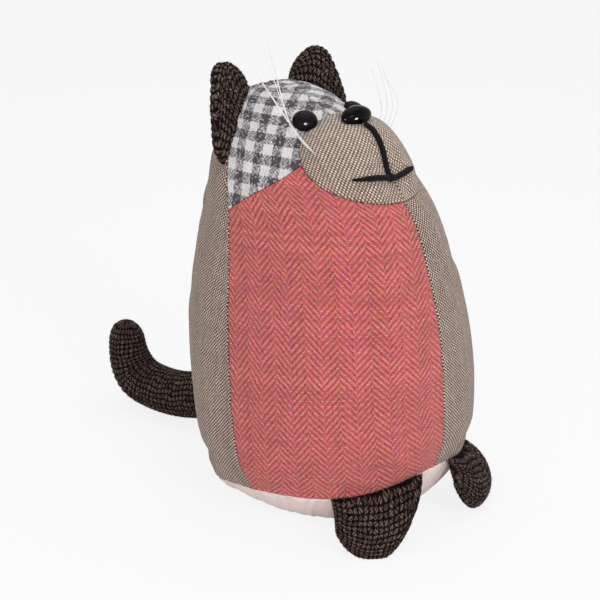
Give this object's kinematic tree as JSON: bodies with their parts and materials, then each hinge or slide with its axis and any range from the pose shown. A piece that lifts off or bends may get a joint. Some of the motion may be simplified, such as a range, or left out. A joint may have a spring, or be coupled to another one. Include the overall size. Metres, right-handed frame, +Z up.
{
  "type": "weighted fabric door stop",
  "caption": "Weighted fabric door stop shaped as a sitting patchwork cat: sewn panels over a sand-filled base, with padded ears, paws and tail, domed eyes and bristle whiskers.",
  "frame": {"origin": "middle of the flat underside of the base, on the floor", "axes": "+Z up, -Y is the way the cat faces, -X is the cat's right-hand side"},
  "size_m": [0.1814, 0.3167, 0.3076],
  "materials": {
    "coral_herringbone": "woven wool tweed",
    "taupe_hopsack": "woven wool",
    "grey_gingham": "woven wool check",
    "beige_hopsack": "woven wool",
    "base_cotton": "plain cotton",
    "brown_tweed": "chunky woven tweed",
    "black_gloss": "polished",
    "black_yarn": "soft yarn",
    "nylon_bristle": "translucent white",
    "polyester_fibre": "loose fibre",
    "bag_cloth": "plain cloth filled with sand"
  },
  "bodies": {
    "root": {"back_left_panel": "taupe_hopsack", "back_right_panel": "taupe_hopsack", "base_panel": "base_cotton", "crown_left": "grey_gingham", "crown_right": "grey_gingham", "fibre_filling": "polyester_fibre", "front_left_panel": "taupe_hopsack", "front_right_panel": "coral_herringbone", "left_ear": "brown_tweed", "left_eye": "black_gloss", "left_paw": "brown_tweed", "left_whisker_1": "nylon_bristle", "left_whisker_2": "nylon_bristle", "left_whisker_3": "nylon_bristle", "left_whisker_4": "nylon_bristle", "mouth_yarn": "black_yarn", "muzzle_filling": "polyester_fibre", "muzzle_left": "beige_hopsack", "muzzle_right": "beige_hopsack", "nose": "black_gloss", "philtrum_yarn": "black_yarn", "right_ear": "brown_tweed", "right_eye": "black_gloss", "right_paw": "brown_tweed", "right_whisker_1": "nylon_bristle", "right_whisker_2": "nylon_bristle", "right_whisker_3": "nylon_bristle", "right_whisker_4": "nylon_bristle", "right_whisker_5": "nylon_bristle", "sand_bag": "bag_cloth", "tail": "brown_tweed"}
  },
  "joints": []
}
